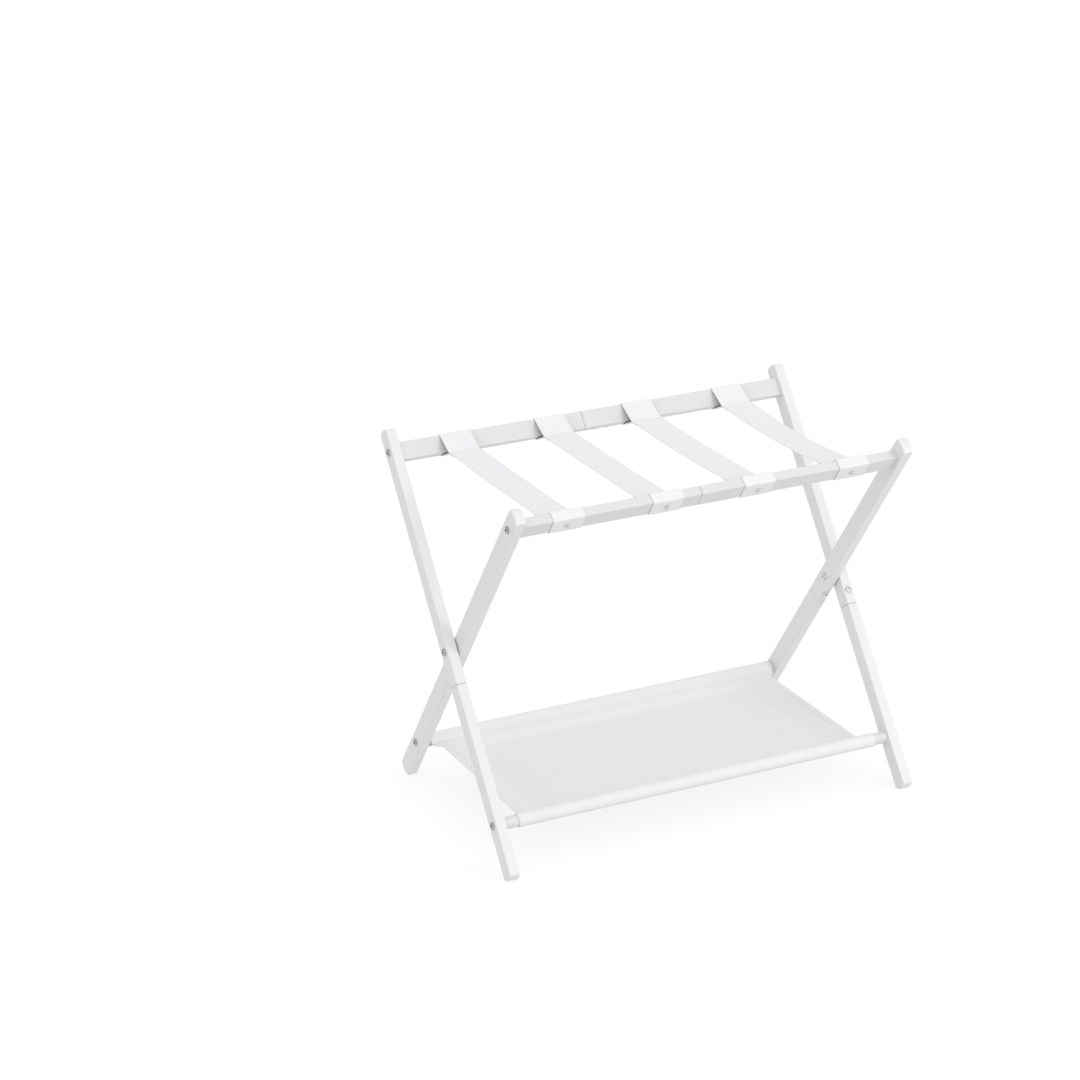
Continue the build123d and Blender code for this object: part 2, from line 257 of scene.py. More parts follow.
@dataclass(frozen=True)
class PaintedWood(Finish):
    """White satin paint over close-grained wood, whose fibres just show through."""

    name: str
    grain: Grain
    lean: float
    seam: float | None = None
    tone: float = 1.0
    # The width and colour of the line of painted shade at the bottom of a seam's groove.
    gap: float = 0.5 * MM
    gap_shade_colour: Colour = (0.16, 0.15, 0.14)
    light: Colour = (0.800, 0.800, 0.797)
    shade: Colour = (0.752, 0.752, 0.750)
    fibres_per_metre: float = 620.0
    fibres_per_figure: float = 7.0
    fibre_stretch: float = 0.03
    brush_marks_per_metre: float = 90.0
    roughness: float = 0.36
    relief_depth: float = 0.25 * MM

    def upright(self, nodes: Nodes) -> Value:
        """Turns places so that the fibres of a leg run up Z. A rail's stay along X.

        Args:
            nodes: The material's tree.

        Returns:
            The turned places.
        """
        place = nodes.place()
        if self.grain is Grain.ALONG_RAIL:
            return place
        turn = self.lean if self.grain is Grain.UP_OUTER_LEG else -self.lean
        inputs = {"Vector": place, "Angle": turn}
        return nodes.add("ShaderNodeVectorRotate", {"rotation_type": "X_AXIS"}, inputs)

    def with_seam_shade(self, nodes: Nodes, upright: Value, paint: Value) -> Value:
        """Paints shade along the bottom of the groove where two pieces of wood meet end to end.

        Args:
            nodes: The material's tree.
            upright: The places that upright() gives.
            paint: The paint's colour.

        Returns:
            The paint's colour, with painted shade along the groove's bottom.
        """
        if self.seam is None:
            return paint
        x, _, z = nodes.parts_of(upright)
        along = x if self.grain is Grain.ALONG_RAIL else z
        # A near-black line of painted shade along the groove's bottom, where the two pieces meet.
        in_shaded_gap = (along - self.seam).size().under(self.gap / 2)
        return nodes.between(in_shaded_gap, paint, self.gap_shade_colour)

    def sockets(self, nodes: Nodes) -> dict[str, Any]:
        """The paint's colour, gloss and relief.

        Args:
            nodes: The material's tree.

        Returns:
            What each of the shader's sockets that is used is given.
        """
        upright = self.upright(nodes)
        stretch = self.fibre_stretch
        on_rail = self.grain is Grain.ALONG_RAIL
        place = nodes.scaled(upright, (stretch, 1.0, 1.0) if on_rail else (1.0, 1.0, stretch))
        fibres = nodes.speckle(place, self.fibres_per_metre, 4.0)
        figure = nodes.speckle(place, self.fibres_per_metre / self.fibres_per_figure, 2.0)
        brushed = nodes.speckle(nodes.place(), self.brush_marks_per_metre)
        share = fibres * 0.45 + figure * 0.40 + brushed * 0.15
        shade, light = (tuple(self.tone * part for part in colour) for colour in (self.shade, self.light))
        return {
            "Base Color": self.with_seam_shade(nodes, upright, nodes.between(share, shade, light)),
            "Roughness": self.roughness + brushed * 0.16,
            "Normal": nodes.relief(fibres * 0.7 + figure * 0.3, self.relief_depth, 0.35),
            "Coat Weight": 0.12,
            "Coat Roughness": 0.3,
        }


@dataclass(frozen=True)
class BareWood(Finish):
    """Pale beech, planed and unpainted, with short dark flecks."""

    name: str = "bare_wood"
    pale: Colour = (0.62, 0.45, 0.29)
    dark: Colour = (0.47, 0.31, 0.18)
    rings_per_metre: float = 210.0
    ring_stretch: float = 0.4
    flecks_per_metre: float = 1260.0
    roughness: float = 0.5
    relief_depth: float = 0.2 * MM

    def sockets(self, nodes: Nodes) -> dict[str, Any]:
        """The wood's colour, gloss and relief.

        Args:
            nodes: The material's tree.

        Returns:
            What each of the shader's sockets that is used is given.
        """
        place = nodes.scaled(nodes.place(), (self.ring_stretch, 1.0, self.ring_stretch))
        rings = nodes.speckle(place, self.rings_per_metre, 5.0)
        flecks = nodes.speckle(nodes.place(), self.flecks_per_metre, 2.0)
        return {
            "Base Color": nodes.between(rings * 0.75 + flecks * 0.25, self.dark, self.pale),
            "Roughness": self.roughness + flecks * 0.2,
            "Normal": nodes.relief(rings, self.relief_depth, 0.4),
        }


@dataclass(frozen=True)
class PlatedSteel(Finish):
    """Zinc-plated steel, bright but a little cloudy and finely scratched."""

    name: str = "plated_steel"
    bright: Colour = (0.78, 0.78, 0.80)
    dull: Colour = (0.54, 0.54, 0.56)
    clouds_per_metre: float = 260.0
    scratches_per_metre: float = 5200.0
    scratch_stretch: float = 0.08
    roughness: float = 0.24
    relief_depth: float = 0.03 * MM

    def sockets(self, nodes: Nodes) -> dict[str, Any]:
        """The steel's colour, gloss and relief.

        Args:
            nodes: The material's tree.

        Returns:
            What each of the shader's sockets that is used is given.
        """
        clouds = nodes.speckle(nodes.place(), self.clouds_per_metre)
        place = nodes.scaled(nodes.place(), (1.0, self.scratch_stretch, 1.0))
        scratches = nodes.speckle(place, self.scratches_per_metre, 1.0)
        return {
            "Base Color": nodes.between(clouds, self.dull, self.bright),
            "Metallic": 1.0,
            "Roughness": self.roughness + clouds * 0.12 + scratches * 0.08,
            "Normal": nodes.relief(scratches, self.relief_depth, 0.3),
        }


@dataclass(frozen=True)
class WhiteNylon(Finish):
    """Moulded white nylon with a fine matt texture."""

    name: str = "white_nylon"
    light: Colour = (0.80, 0.80, 0.78)
    shade: Colour = (0.72, 0.72, 0.70)
    clouds_per_metre: float = 180.0
    pits_per_metre: float = 3800.0
    roughness: float = 0.38
    relief_depth: float = 0.05 * MM

    def sockets(self, nodes: Nodes) -> dict[str, Any]:
        """The nylon's colour, gloss and relief.

        Args:
            nodes: The material's tree.

        Returns:
            What each of the shader's sockets that is used is given.
        """
        clouds = nodes.speckle(nodes.place(), self.clouds_per_metre)
        pits = nodes.speckle(nodes.place(), self.pits_per_metre, 1.0)
        return {
            "Base Color": nodes.between(clouds, self.shade, self.light),
            "Roughness": self.roughness + clouds * 0.14,
            "Normal": nodes.relief(pits, self.relief_depth, 0.3),
        }


class Weave(Enum):
    """How threads pass over each other."""

    PLAIN = "plain"
    TWILL = "twill"


@dataclass(frozen=True)
class WovenCloth(Finish):
    """Woven white cloth: threads over and under each other, with slubs and soft fuzz."""

    name: str
    weave: Weave
    light: Colour
    shade: Colour
    across_pitch: float
    along_pitch: float
    relief_depth: float
    chevron: float = 8.3 * MM
    slant_per_metre: float = 1900.0
    slubs_per_metre: float = 700.0
    slub_stretch: float = 0.06
    fuzz_per_metre: float = 2600.0
    clouds_per_metre: float = 14.0
    roughness: float = 0.82

    def threads(self, nodes: Nodes) -> Value:
        """The height of the threads.

        Args:
            nodes: The material's tree.

        Returns:
            The height, from 0 to 1.
        """
        across, along, _ = nodes.parts_of(nodes.lie())
        warp = across * (math.pi / self.across_pitch)
        weft = along * (math.pi / self.along_pitch)
        if self.weave is Weave.TWILL:
            slant = across.to_and_fro(self.chevron) * self.slant_per_metre
            return 0.5 + 0.32 * (weft + slant).sine() + 0.18 * (warp * 2.0).sine()
        return 0.5 + 0.5 * warp.sine() * weft.sine()

    def sockets(self, nodes: Nodes) -> dict[str, Any]:
        """The cloth's colour, gloss and relief.

        Args:
            nodes: The material's tree.

        Returns:
            What each of the shader's sockets that is used is given.
        """
        lie = nodes.lie()
        threads = self.threads(nodes)
        slubs = nodes.speckle(nodes.scaled(lie, (1.0, self.slub_stretch, 1.0)), self.slubs_per_metre, 2.0)
        fuzz = nodes.speckle(lie, self.fuzz_per_metre, 2.0)
        clouds = nodes.speckle(lie, self.clouds_per_metre, 2.0)
        share = threads * 0.35 + slubs * 0.25 + clouds * 0.4
        return {
            "Base Color": nodes.between(share, self.shade, self.light),
            "Roughness": self.roughness + fuzz * 0.12,
            "Normal": nodes.relief(threads * 0.8 + fuzz * 0.2, self.relief_depth, 0.6),
            "Sheen Weight": 0.15,
            "Sheen Roughness": 0.5,
        }


@dataclass(frozen=True)
class SewingThread(Finish):
    """White twisted polyester thread."""

    name: str = "sewing_thread"
    light: Colour = (0.84, 0.84, 0.85)
    shade: Colour = (0.70, 0.70, 0.72)
    ply_turn_per_metre: float = 4200.0
    roughness: float = 0.55
    relief_depth: float = 0.05 * MM

    def sockets(self, nodes: Nodes) -> dict[str, Any]:
        """The thread's colour, gloss and relief.

        Args:
            nodes: The material's tree.

        Returns:
            What each of the shader's sockets that is used is given.
        """
        x, y, z = nodes.parts_of(nodes.place())
        plies = 0.5 + 0.5 * ((x + y + z) * self.ply_turn_per_metre).sine()
        return {
            "Base Color": nodes.between(plies, self.shade, self.light),
            "Roughness": self.roughness + plies * 0.1,
            "Normal": nodes.relief(plies, self.relief_depth, 0.5),
        }


@dataclass(frozen=True)
class StudioPaper(Finish):
    """Matt grey paper with a glow of its own, which makes it white."""

    name: str = "studio_floor"
    light: Colour = (0.28, 0.28, 0.28)
    shade_share: float = 0.985
    clouds_per_metre: float = 1.5
    glow: float = 0.74

    def sockets(self, nodes: Nodes) -> dict[str, Any]:
        """The paper's colour and glow.

        Args:
            nodes: The material's tree.

        Returns:
            What each of the shader's sockets that is used is given.
        """
        clouds = nodes.speckle(nodes.place(), self.clouds_per_metre, 2.0)
        shade = tuple(self.shade_share * part for part in self.light)
        return {
            "Base Color": nodes.between(clouds, shade, self.light),
            "Roughness": 0.9,
            "Specular IOR Level": 0.0,
            "Emission Color": (1.0, 1.0, 1.0, 1.0),
            "Emission Strength": self.glow,
        }


# ---- cloth made from a side view ----
ARC_STEP = math.radians(14.0)
WRONG_WAY_LIMIT = 1.0


@dataclass(frozen=True)
class Bend:
    """A round that cloth is pulled over, in the side view. A point has no radius.

    A positive radius turns the cloth to its left and a negative one to its right.
    """

    centre: Vector
    radius: float = 0.0


def turned(vector: Vector, angle: float) -> Vector:
    """A side-view vector turned anticlockwise by an angle in radians."""
    return Matrix.Rotation(angle, 2) @ vector


def tangent_normals(bends: Sequence[Bend]) -> list[Vector]:
    """Finds the straight runs between one bend and the next.

    Args:
        bends: The bends in order.

    Returns:
        The normal on each run's right.
    """
    normals = []
    for first, second in pairwise(bends):
        way = second.centre - first.centre
        share = (first.radius - second.radius) / way.length
        way.normalize()
        right = Vector((way.y, -way.x))
        normals.append(way * share + right * math.sqrt(1 - share * share))
    return normals


def pulled_over(bends: Sequence[Bend], longest: float) -> list[Vector]:
    """The line of cloth pulled tight over bends, one after another.

    A turn that comes out against its bend by more than WRONG_WAY_LIMIT, in radians, is really
    more than half a turn the other way, so a whole turn is added to it.

    Args:
        bends: The rounds and points in the order that the cloth meets them.
        longest: The longest distance between two of the line's points.

    Returns:
        The line's points in the side view.
    """
    normals = tangent_normals(bends)
    corners = []
    for place, bend in enumerate(bends):
        before = normals[max(place - 1, 0)]
        after = normals[min(place, len(normals) - 1)]
        angle = math.atan2(before.x * after.y - before.y * after.x, before.dot(after))
        if abs(angle) > WRONG_WAY_LIMIT and angle * bend.radius < 0:
            angle += math.copysign(math.tau, bend.radius)
        steps = math.ceil(abs(angle) / ARC_STEP) if bend.radius else 0
        for step in range(steps + 1):
            share = step / steps if steps else 0.0
            corners.append(bend.centre + bend.radius * turned(before, angle * share))
    line = [corners[0]]
    for start, end in pairwise(corners):
        pieces = math.ceil((end - start).length / longest)
        line += [start.lerp(end, piece / pieces) for piece in range(1, pieces + 1)]
    return line


def mirrored(line: Sequence[Vector]) -> list[Vector]:
    """A side-view line seen in a mirror on the rack's middle, and walked the other way."""
    return [Vector((-point.x, point.y)) for point in reversed(line)]


def eased(share: float) -> float:
    """A smooth step from 0 to 1."""
    share = min(max(share, 0.0), 1.0)
    return share * share * (3 - 2 * share)


def rounded_edge(inset: float, radius: float, least: float) -> float:
    """How cloth thins towards its edge, which is round.

    Args:
        inset: How far inside the edge a place is.
        radius: How far inside the edge the rounding ends.
        least: The share that is left at the very edge.

    Returns:
        The share of its thickness that the cloth has there.
    """
    share = min(inset / radius, 1.0)
    return max(math.sqrt(1 - (1 - share) ** 2), least)


def columns_between(half_width: float, edge: Sequence[float], spacing: float) -> list[float]:
    """Places across a strip: close together at its edges and evenly spaced between.

    Args:
        half_width: Half the strip's width.
        edge: Distances from the strip's edge that have a column, nearest first.
        spacing: The distance between the other columns.

    Returns:
        The places from the strip's middle, in order.
    """
    right = [half_width - inset for inset in edge]
    inner = right[-1]
    count = math.ceil(2 * inner / spacing)
    middle = [-inner + 2 * inner * number / count for number in range(1, count)]
    return [-place for place in right] + middle + list(reversed(right))


class Cloth:
    """A strip of cloth with thickness: a side-view line drawn out across the rack."""

    def __init__(
        self,
        line: Sequence[Vector],
        columns: Sequence[float],
        half_thickness: Callable[[float], float],
        lift: Callable[[float, float], float],
        middle: float,
        kept_width: Callable[[float], float] = lambda depth: 1.0,
    ) -> None:
        """Keeps the strip's shape.

        Args:
            line: The middle of its thickness in the side view.
            columns: Where its threads run along it, as places from its own middle.
            half_thickness: Half its thickness at a place across it.
            lift: How far it is lifted at a place across it and a depth in the rack.
            middle: Where its own middle is across the rack.
            kept_width: The share of its width that it keeps at a depth in the rack.
        """
        self.line = list(line)
        self.columns = list(columns)
        self.half_thickness = half_thickness
        self.lift = lift
        self.middle = middle
        self.kept_width = kept_width
        self.walked = [0.0]
        for start, end in pairwise(self.line):
            self.walked.append(self.walked[-1] + (end - start).length)

    @property
    def length(self) -> float:
        """Its length when it lies flat."""
        return self.walked[-1]

    def normal(self, row: int) -> Vector:
        """Finds the side-view normal on the line's right.

        Args:
            row: The number of one of the line's points.

        Returns:
            The normal at that point, of length 1.
        """
        before = self.line[max(row - 1, 0)]
        after = self.line[min(row + 1, len(self.line) - 1)]
        way = (after - before).normalized()
        return Vector((way.y, -way.x))

    def grid_point(self, row: int, across: float, side: float) -> Vector:
        """Finds a point of one of the strip's faces.

        Args:
            row: The number of one of the line's points.
            across: A place across the strip.
            side: 1 for the face on the line's right and -1 for the other.

        Returns:
            The point.
        """
        place = self.line[row] + self.normal(row) * (side * self.half_thickness(across))
        x = self.middle + across * self.kept_width(place.x)
        return Vector((x, place.x, place.y + self.lift(across, place.x)))

    def point(self, walked: float, across: float) -> Vector:
        """Finds any point of the face on the line's right.

        Args:
            walked: How far along the strip it is.
            across: How far across the strip it is, from the middle.

        Returns:
            The point.
        """
        row = min(max(bisect(self.walked, walked) - 1, 0), len(self.line) - 2)
        share = (walked - self.walked[row]) / (self.walked[row + 1] - self.walked[row])
        return self.grid_point(row, across, 1).lerp(self.grid_point(row + 1, across, 1), share)

    def walked_above(self, place: Vector) -> float:
        """Finds the part of the strip that lies over a place in the side view.

        Args:
            place: The place.

        Returns:
            How far along the strip that part is.
        """
        places = zip(self.line, self.walked)
        return min((abs(point.x - place.x), walked) for point, walked in places if point.y > place.y)[1]

    def build(self, name: str, material: bpy.types.Material) -> bpy.types.Object:
        """Makes the strip as one closed mesh.

        Args:
            name: The piece's name.
            material: Its finish.

        Returns:
            The new object.
        """
        rows, width = len(self.line), len(self.columns)
        points, lies = [], []
        for side in (1, -1):
            for row in range(rows):
                points += [self.grid_point(row, across, side) for across in self.columns]
                lies += [(across, self.walked[row], 0.0) for across in self.columns]
        faces = list(self._faces(rows, width))
        piece = new_object(name, points, faces, material)
        lie = piece.data.attributes.new(LIE, "FLOAT_VECTOR", "POINT")
        lie.data.foreach_set("vector", [number for place in lies for number in place])
        return piece

    @staticmethod
    def _faces(rows: int, width: int) -> Iterable[tuple[int, int, int, int]]:
        """Gives the strip's faces: both sides, then the rim all round.

        Args:
            rows: How many points its line has.
            width: How many columns it has.

        Returns:
            The four corners of each face, one face after another.
        """
        under = rows * width
        for row in range(rows - 1):
            for column in range(width - 1):
                a = row * width + column
                b, c, d = a + width, a + width + 1, a + 1
                yield (a, b, c, d)
                yield (d + under, c + under, b + under, a + under)
        for row in range(rows - 1):
            for column, near in ((0, True), (width - 1, False)):
                a = row * width + column
                b = a + width
                yield (a + under, b + under, b, a) if near else (a, b, b + under, a + under)
        for column in range(width - 1):
            for row, near in ((0, True), (rows - 1, False)):
                a = row * width + column
                b = a + 1
                yield (a, b, b + under, a + under) if near else (a + under, b + under, b, a)


def new_object(
    name: str,
    points: Sequence[Vector],
    faces: Sequence[Sequence[int]],
    material: bpy.types.Material,
) -> bpy.types.Object:
    """A smooth mesh object in the scene.

    Args:
        name: The object's name.
        points: Its corners.
        faces: Its faces, as numbers of corners.
        material: Its finish.

    Returns:
        The new object.
    """
    mesh = bpy.data.meshes.new(name)
    mesh.from_pydata(points, [], faces)
    mesh.polygons.foreach_set("use_smooth", [True] * len(faces))
    mesh.materials.append(material)
    piece = bpy.data.objects.new(name, mesh)
    bpy.context.scene.collection.objects.link(piece)
    return piece


# One end of a stitch: how far along a strip it is and how far across it.
End = tuple[float, float]
Stitches = list[tuple[End, End]]


@dataclass(frozen=True)
class Stitching:
    """Rows of lock stitches laid on a strip's face, each a short arched thread."""

    thread: float = 0.55 * MM
    stitch: float = 2.6 * MM
    pitch: float = 3.3 * MM
    sunk: float = 0.12 * MM
    taper: float = 0.85
    dip: float = 0.75
    sides: int = 6
    rings: tuple[float, ...] = (-1.0, -0.82, -0.4, 0.0, 0.4, 0.82, 1.0)

    def spans(self, start: float, end: float) -> list[tuple[float, float]]:
        """Spreads stitches evenly from one place to another.

        Args:
            start: Where their row starts.
            end: Where it ends.

        Returns:
            Where each stitch starts and ends in the row.
        """
        count = round((end - start) / self.pitch)
        centres = [start + (end - start) * (number + 0.5) / count for number in range(count)]
        half = self.stitch / 2
        return [(centre - half, centre + half) for centre in centres]

    def across(self, walked: float, start: float, end: float) -> Stitches:
        """A row across a strip, from one place across it to another."""
        return [((walked, first), (walked, last)) for first, last in self.spans(start, end)]

    def along(self, across: float, start: float, end: float) -> Stitches:
        """A row along a strip, from one place along it to another."""
        return [((first, across), (last, across)) for first, last in self.spans(start, end)]

    def rings_of(self, cloth: Cloth, first: End, last: End) -> Iterable[list[Vector]]:
        """Gives the rings of points round one stitch.

        Args:
            cloth: The strip.
            first: One end of the stitch.
            last: The other end.

        Returns:
            The points of each ring, one ring after another.
        """
        start, end = cloth.point(*first), cloth.point(*last)
        middle, way = (start + end) / 2, (end - start) / 2
        walked, across = ((near + far) / 2 for near, far in zip(first, last))
        beside = cloth.point(walked, across + MM)
        ahead = cloth.point(walked + MM, across)
        up = (ahead - middle).cross(beside - middle).normalized()
        aside = way.cross(up).normalized()
        for place in self.rings:
            bulge = math.sqrt(1 - self.taper * place * place)
            centre = middle + way * place + up * (self.thread / 2 * bulge - self.sunk)
            centre -= up * (self.thread * self.dip * place**6)
            ring = []
            for side in range(self.sides):
                angle = math.tau * side / self.sides
                spread = aside * math.cos(angle) + up * math.sin(angle)
                ring.append(centre + spread * (self.thread / 2 * bulge))
            yield ring

    def build(
        self,
        name: str,
        cloth: Cloth,
        stitches: Stitches,
        material: bpy.types.Material,
    ) -> bpy.types.Object:
        """Makes all the stitches of a strip as one piece.

        Args:
            name: The piece's name.
            cloth: The strip.
            stitches: The stitches, from across() and along().
            material: The thread's finish.

        Returns:
            The new object.
        """
        points, faces = [], []
        for first, last in stitches:
            rings = list(self.rings_of(cloth, first, last))
            base = len(points)
            points += [point for ring in rings for point in ring]
            for ring in range(len(rings) - 1):
                for side in range(self.sides):
                    a = base + ring * self.sides + side
                    b = base + ring * self.sides + (side + 1) % self.sides
                    faces.append((a, b, b + self.sides, a + self.sides))
            far = base + (len(rings) - 1) * self.sides
            faces.append(tuple(reversed(range(base, base + self.sides))))
            faces.append(tuple(range(far, far + self.sides)))
        return new_object(name, points, faces, material)


# ---- the straps ----
@dataclass(frozen=True)
class Rail:
    """A rail's section in the side view: its middle and how far its leg leans back."""

    middle: Vector
    lean: float
    width: float = 28 * MM
    thickness: float = 15 * MM
    edge_radius: float = 1.2 * MM

    @classmethod
    def of_node(cls, node: str, pivot_height: float) -> "Rail":
        """The rail that a node holds.

        Args:
            node: The rail's node.
            pivot_height: How high the pivot that its legs turn on is.

        Returns:
            The rail.
        """
        low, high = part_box(node)
        middle = Vector(((low.y + high.y) / 2, (low.z + high.z) / 2))
        return cls(middle, math.atan2(middle.x, middle.y - pivot_height))

    def corner(self, across: int, up: int, stand_off: float) -> Bend:
        """One long edge as the round that cloth bends over.

        Args:
            across: 1 for its back face and -1 for its front one.
            up: 1 for its upper edge and -1 for its lower one.
            stand_off: How far from the wood the middle of the cloth is.

        Returns:
            The round.
        """
        out = across * (self.thickness / 2 - self.edge_radius)
        high = up * (self.width / 2 - self.edge_radius)
        across_way = Vector((math.cos(self.lean), -math.sin(self.lean)))
        up_way = Vector((math.sin(self.lean), math.cos(self.lean)))
        centre = self.middle + across_way * out + up_way * high
        return Bend(centre, self.edge_radius + stand_off)


@dataclass(frozen=True)
class Straps:
    """Four webbing straps, each sewn in a loop round the rear rail and the front one."""

    rail: Rail
    webbing: bpy.types.Material
    thread: bpy.types.Material
    sewing: Stitching = Stitching()
    sags: tuple[float, ...] = (0.5 * MM, 1.4 * MM, 2.6 * MM, 6.5 * MM)
    rolls: tuple[float, ...] = (0.3 * MM, -0.4 * MM, 0.3 * MM, -0.9 * MM)
    cupping: float = 0.3 * MM
    thickness: float = 1.2 * MM
    clearance: float = 0.3 * MM
    layer_gap: float = 0.1 * MM
    seam_inset: float = 32 * MM
    seam_drop: float = 2.5 * MM
    overlap: float = 17 * MM
    fold_radius: float = 5 * MM
    fold_start: float = 0.25
    selvedge: float = 1.6 * MM
    selvedge_fatness: float = 1.14
    thinnest: float = 0.25
    edge_columns: tuple[float, ...] = (0.0, 0.15 * MM, 0.45 * MM, 0.8 * MM, 1.5 * MM, 1.8 * MM)
    column_spacing: float = 3 * MM
    row_spacing: float = 4 * MM
    box_inset: float = 2.5 * MM
    box_margin: float = 4 * MM
    box_start: float = 0.5 * MM

    @property
    def seam(self) -> Vector:
        """Where the rear loop is sewn shut, in the side view."""
        return self.rail.middle - Vector((self.seam_inset, self.seam_drop))

    def span_height(self, depth: float, sag: float) -> float:
        """How high the span's middle line is at a depth in the rack."""
        share = depth / self.seam.x
        return self.seam.y + self.thickness / 2 - sag * (1 - share * share)

    def line(self, sag: float) -> list[Vector]:
        """Draws a strap's side view: the rear loop, the span and the front loop.

        Args:
            sag: How far the middle of the span hangs below its ends.

        Returns:
            The middle of the webbing's thickness.
        """
        stand_off = self.clearance + self.thickness / 2
        layer = self.thickness + self.layer_gap
        ends = []
        for inset in (self.overlap, self.overlap / 2):
            depth = self.seam.x - inset
            ends.append(Bend(Vector((depth, self.span_height(depth, sag) - layer))))
        sewn = self.seam + Vector((0.0, self.thickness / 2))
        fold = self.fold_radius
        under = Bend(sewn - Vector((0.0, layer + fold)), -fold)
        over = Bend(sewn + Vector((-self.fold_start * fold, fold)), -fold)
        low = self.rail.corner(1, -1, stand_off)
        back = self.rail.corner(1, 1, stand_off)
        front = self.rail.corner(-1, 1, stand_off)
        first = self.seam.x - 2 * fold
        count = round(first / self.row_spacing)
        depths = [first * (1 - number / count) for number in range(count + 1)]
        span = [Bend(Vector((depth, self.span_height(depth, sag)))) for depth in depths]
        half = pulled_over([*ends, under, low, back, front, over, *span], self.row_spacing)
        return half + mirrored(half)[1:]

    def half_thickness(self, half_width: float, across: float) -> float:
        """Half the webbing's thickness: full to the selvedge, which is a little fatter and round.

        Args:
            half_width: Half the webbing's width.
            across: A place across it.

        Returns:
            Half its thickness there.
        """
        inset = half_width - abs(across)
        fatness = self.selvedge_fatness if inset < self.selvedge else 1.0
        rounding = rounded_edge(inset, self.thickness / 2, self.thinnest)
        return 0.5 * self.thickness * fatness * rounding

    def cloth(self, number: int, middle: float, half_width: float) -> Cloth:
        """Shapes one strap.

        Args:
            number: Its place in the row, from 0 at the left.
            middle: Where its middle is across the rack.
            half_width: Half its width.

        Returns:
            Its strip.
        """
        sag, roll = self.sags[number], self.rolls[number]

        def thickness_at(across: float) -> float:
            """Half the webbing's thickness at a place across it."""
            return self.half_thickness(half_width, across)

        def lift_at(across: float, depth: float) -> float:
            """Cups and rolls the span slightly.

            Args:
                across: A place across the strap.
                depth: A depth in the rack.

            Returns:
                How far the webbing is lifted there.
            """
            free = eased(1 - abs(depth) / (self.seam.x - self.overlap))
            share = across / half_width
            return free * (roll * share - self.cupping * share * share)

        columns = columns_between(half_width, self.edge_columns, self.column_spacing)
        return Cloth(self.line(sag), columns, thickness_at, lift_at, middle)

    def stitches(self, cloth: Cloth, half_width: float) -> Stitches:
        """Sews a box on each overlap, on the strap's face and on its back.

        Args:
            cloth: The strap's strip.
            half_width: Half its width.

        Returns:
            The stitches of all its boxes.
        """
        side = half_width - self.box_margin
        near, far = self.box_inset, self.overlap - self.box_inset
        stitches = []
        for start in (cloth.walked_above(self.seam) + self.box_start, 0.0):
            box = (start + near, start + far)
            for first, last in (box, (cloth.length - box[1], cloth.length - box[0])):
                for walked in (first, last):
                    stitches += self.sewing.across(walked, -side, side)
                for across in (-side, side):
                    stitches += self.sewing.along(across, first, last)
        return stitches

    def build(self) -> None:
        """Makes the straps and their stitches."""
        for number in range(len(self.sags)):
            node = f"strap_{number + 1}"
            low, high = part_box(node)
            middle, half_width = (low.x + high.x) / 2, (high.x - low.x) / 2
            cloth = self.cloth(number, middle, half_width)
            strap = cloth.build(f"webbing_{node}", self.webbing)
            stitches = self.stitches(cloth, half_width)
            stitching = self.sewing.build(f"webbing_{node}_stitching", cloth, stitches, self.thread)
            edge = self.rail.corner(-1, 1, 0.0).centre
            for piece in (strap, stitching):
                start, end = (0.0, edge.x, edge.y), (0.0, -edge.x, edge.y)
                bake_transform(piece)
                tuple(start)
                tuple(end)
            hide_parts(node)
            LOG.info("%s: %.0f mm of webbing, %d stitches", node, cloth.length / MM, len(stitches))


# ---- the shelf ----
@dataclass(frozen=True)
class CornerFolds:
    """Soft slanting folds that fade away from each corner of the shelf's sheet."""

    height: float = 0.35 * MM
    side_wave: float = 17 * MM
    seam_wave: float = 38 * MM
    side_reach: float = 85 * MM
    seam_reach: float = 75 * MM
    seam_fade: float = 12 * MM

    def height_at(self, from_side: float, from_seam: float) -> float:
        """How high the folds stand.

        Args:
            from_side: How far a place is from the sheet's side.
            from_seam: How far it is from the sleeve's seam.

        Returns:
            The folds' height there.
        """
        wave = math.sin(from_side / self.side_wave - from_seam / self.seam_wave)
        near = math.exp(-((from_side / self.side_reach) ** 2) - (from_seam / self.seam_reach) ** 2)
        return self.height * wave * near * eased(from_seam / self.seam_fade)


